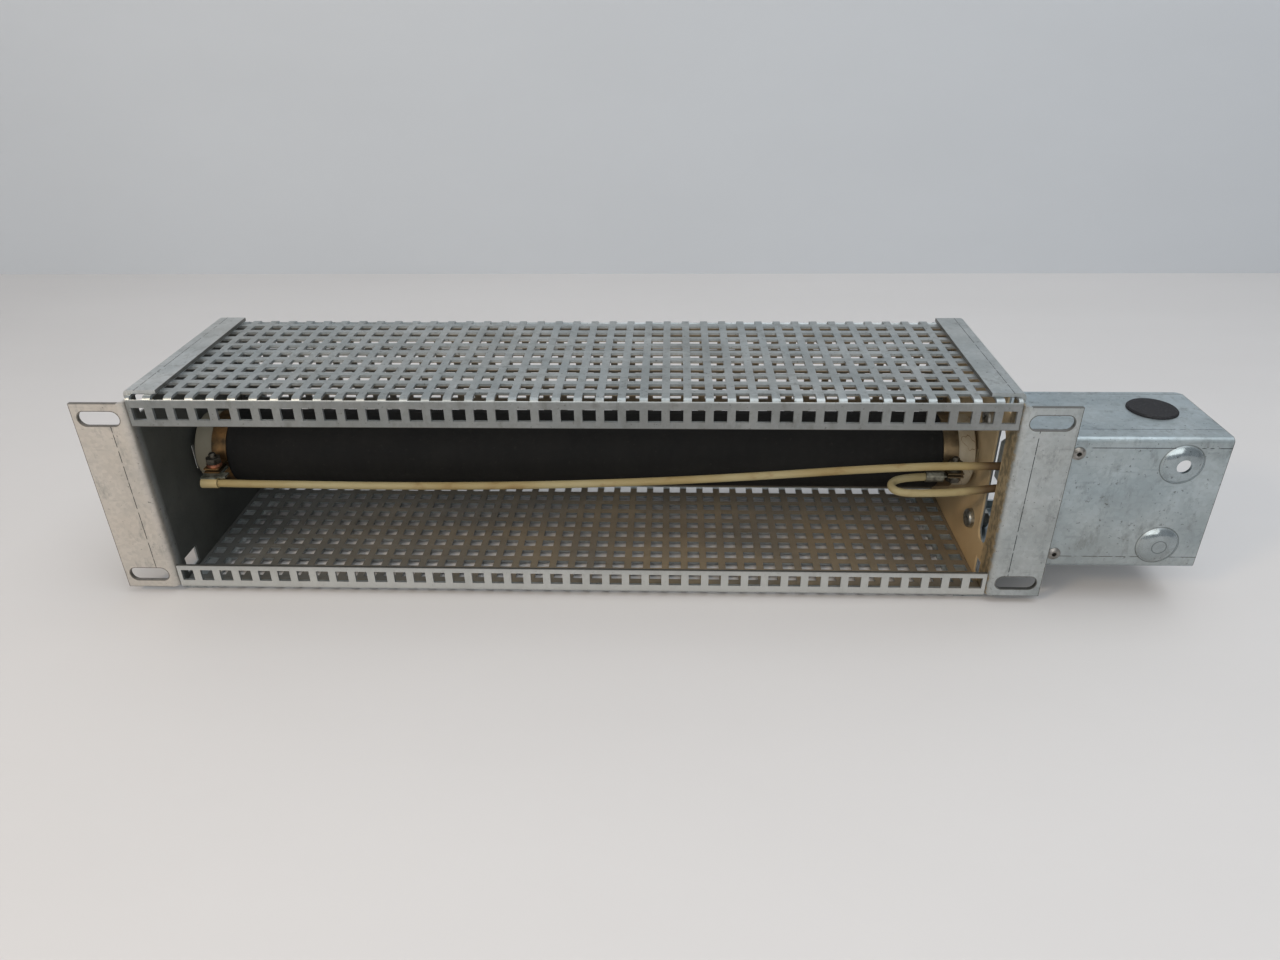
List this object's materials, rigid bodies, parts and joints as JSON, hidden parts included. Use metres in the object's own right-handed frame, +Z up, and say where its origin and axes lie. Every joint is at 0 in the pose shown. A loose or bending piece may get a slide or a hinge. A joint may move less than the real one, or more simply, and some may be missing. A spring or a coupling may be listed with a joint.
{
  "type": "dynamic braking resistor",
  "caption": "Dynamic braking resistor: wire-wound ceramic tube inside a perforated galvanised steel housing with slotted wall flanges and an open terminal box",
  "frame": {"origin": "centre of the four-slot wall fixing pattern, on the mounting plane of the two flanges", "axes": "+X along the housing towards the terminal box, +Y into the depth away from the mounting plane, +Z up"},
  "size_m": [0.4276, 0.0895, 0.0896],
  "materials": {
    "perforated_cover": "galvanised sheet",
    "left_end_plate": "galvanised sheet",
    "right_end_plate": "galvanised sheet",
    "ceramic_core": "unglazed cream ceramic with heat stains",
    "resistance_winding": "oxidised resistance alloy",
    "cement_coating": "matt black cement",
    "left_terminal_band": "heat-tinted band",
    "right_terminal_band": "heat-tinted band",
    "clamp_bolts": "dulled steel",
    "clamp_nuts": "dulled dark steel",
    "clamp_washers": "copper, heat-tinted",
    "long_lead_lug": "tinned",
    "looped_lead_lug": "tinned",
    "long_lead": "glass-braid sleeve, cream with heat stains",
    "looped_lead": "glass-braid sleeve, cream with heat stains",
    "terminal_box": "galvanised sheet",
    "terminal_box_rivets": "plain blind rivet",
    "terminal_box_screws": "zinc plated",
    "terminal_box_nuts": "zinc plated",
    "terminal_bracket": "galvanised sheet",
    "terminal_block_body": "white glazed",
    "terminal_clamps": "plain brass",
    "terminal_screws": "zinc plated",
    "block_screw": "zinc plated",
    "earth_screw": "zinc plated",
    "earth_washer": "zinc plated",
    "earth_clamp_plate": "zinc plated",
    "blanking_plug": "matt black"
  },
  "bodies": {
    "root": {"perforated_cover": "perforated_cover", "left_end_plate": "left_end_plate", "right_end_plate": "right_end_plate", "ceramic_core": "ceramic_core", "resistance_winding": "resistance_winding", "cement_coating": "cement_coating", "left_terminal_band": "left_terminal_band", "right_terminal_band": "right_terminal_band", "clamp_bolts": "clamp_bolts", "clamp_nuts": "clamp_nuts", "clamp_washers": "clamp_washers", "long_lead_lug": "long_lead_lug", "looped_lead_lug": "looped_lead_lug", "long_lead": "long_lead", "looped_lead": "looped_lead", "terminal_box": "terminal_box", "terminal_box_rivets": "terminal_box_rivets", "terminal_box_screws": "terminal_box_screws", "terminal_box_nuts": "terminal_box_nuts", "terminal_bracket": "terminal_bracket", "terminal_block_body": "terminal_block_body", "terminal_clamps": "terminal_clamps", "terminal_screws": "terminal_screws", "block_screw": "block_screw", "earth_screw": "earth_screw", "earth_washer": "earth_washer", "earth_clamp_plate": "earth_clamp_plate", "blanking_plug": "blanking_plug"}
  },
  "joints": []
}
